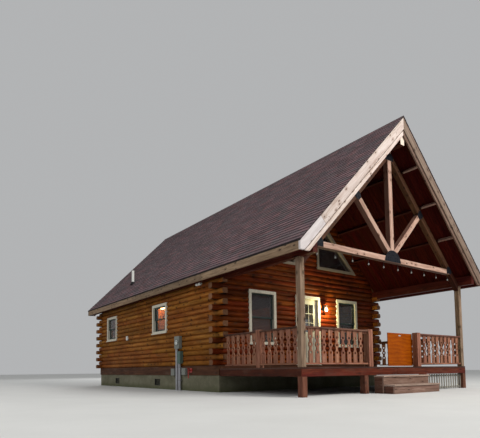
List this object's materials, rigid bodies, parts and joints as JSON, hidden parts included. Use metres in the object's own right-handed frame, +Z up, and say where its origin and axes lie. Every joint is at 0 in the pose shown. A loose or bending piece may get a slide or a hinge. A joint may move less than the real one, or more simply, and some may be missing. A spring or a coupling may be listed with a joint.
{
  "type": "log cabin",
  "caption": "One-storey log cabin with a steep gable roof carried out over a timber-trussed front porch with sawn balusters, steps, a hinged entry door and a stair gate.",
  "frame": {"origin": "centre of the footprint box, on the ground", "axes": "+X right along the front gable, +Y from the porch to the back, +Z up"},
  "size_m": [7.83, 13.462, 7.26],
  "materials": {
    "logs": "oiled pine, satin",
    "dark_timber": "dark red-brown stain",
    "pine_timber": "bare pine",
    "stained_wood": "red-brown stain",
    "weathered_wood": "weathered",
    "shingles": "mineral granules",
    "concrete": "rough",
    "floor_wood": "satin",
    "cream_trim": "satin",
    "dark_sash": "satin",
    "door_paint": "satin",
    "glass": "clear",
    "black_steel": "satin",
    "grey_metal": "satin",
    "grey_conduit": "matte",
    "red_paint": "gloss",
    "white_pvc": "matte",
    "brass": "polished",
    "orange_plywood": "clear stain",
    "bulb_glass": "clear"
  },
  "bodies": {
    "cabin": {"back_gable": "logs", "back_wall": "logs", "conduits": "grey_conduit", "deck_boards": "stained_wood", "deck_joists": "stained_wood", "deck_posts": "stained_wood", "deck_rim": "stained_wood", "deck_skirt": "weathered_wood", "door_frame": "cream_trim", "eave_beams": "dark_timber", "fascia_boards": "pine_timber", "floodlight": "black_steel", "floor": "floor_wood", "foundation_ends": "concrete", "foundation_sides": "concrete", "front_gable": "logs", "front_wall_left": "logs", "front_wall_over_door": "logs", "front_wall_right": "logs", "gable_window_casings": "cream_trim", "gable_window_glass": "glass", "gate_hinges": "black_steel", "hose_bib": "red_paint", "lantern": "black_steel", "left_wall": "logs", "meter_box": "grey_metal", "porch_posts": "pine_timber", "purlins": "dark_timber", "rail_posts": "stained_wood", "railing_front": "stained_wood", "railing_left": "stained_wood", "railing_right": "stained_wood", "rake_boards_back": "pine_timber", "rake_boards_front": "pine_timber", "rake_trim_back": "pine_timber", "rake_trim_front": "pine_timber", "ridge_beam": "pine_timber", "right_wall": "logs", "roof_left": "shingles", "roof_right": "shingles", "service_boxes": "grey_metal", "sill_ends": "dark_timber", "sill_sides": "dark_timber", "stair_boxes": "weathered_wood", "stair_treads": "weathered_wood", "string_lights": "bulb_glass", "truss_bottom_chord": "pine_timber", "truss_king_post": "pine_timber", "truss_plates": "black_steel", "truss_struts": "pine_timber", "truss_top_chords": "pine_timber", "vent_pipe": "white_pvc", "window_casings": "cream_trim", "window_glass": "glass", "window_sashes": "dark_sash"},
    "entry_door": {"front_door": "door_paint", "door_glass": "glass", "door_knobs": "brass"},
    "stair_gate": {"gate": "orange_plywood"}
  },
  "joints": [
    {"name": "door_hinge", "type": "hinge", "parent": "cabin", "child": "entry_door", "pos_m": [-0.456, -2.903, 1.81], "axis": [0, 0, 1], "range_deg": [0, 90]},
    {"name": "gate_hinge", "type": "hinge", "parent": "cabin", "child": "stair_gate", "pos_m": [1.015, -5.969, 1.105], "axis": [0, 0, -1], "range_deg": [0, 90]}
  ]
}
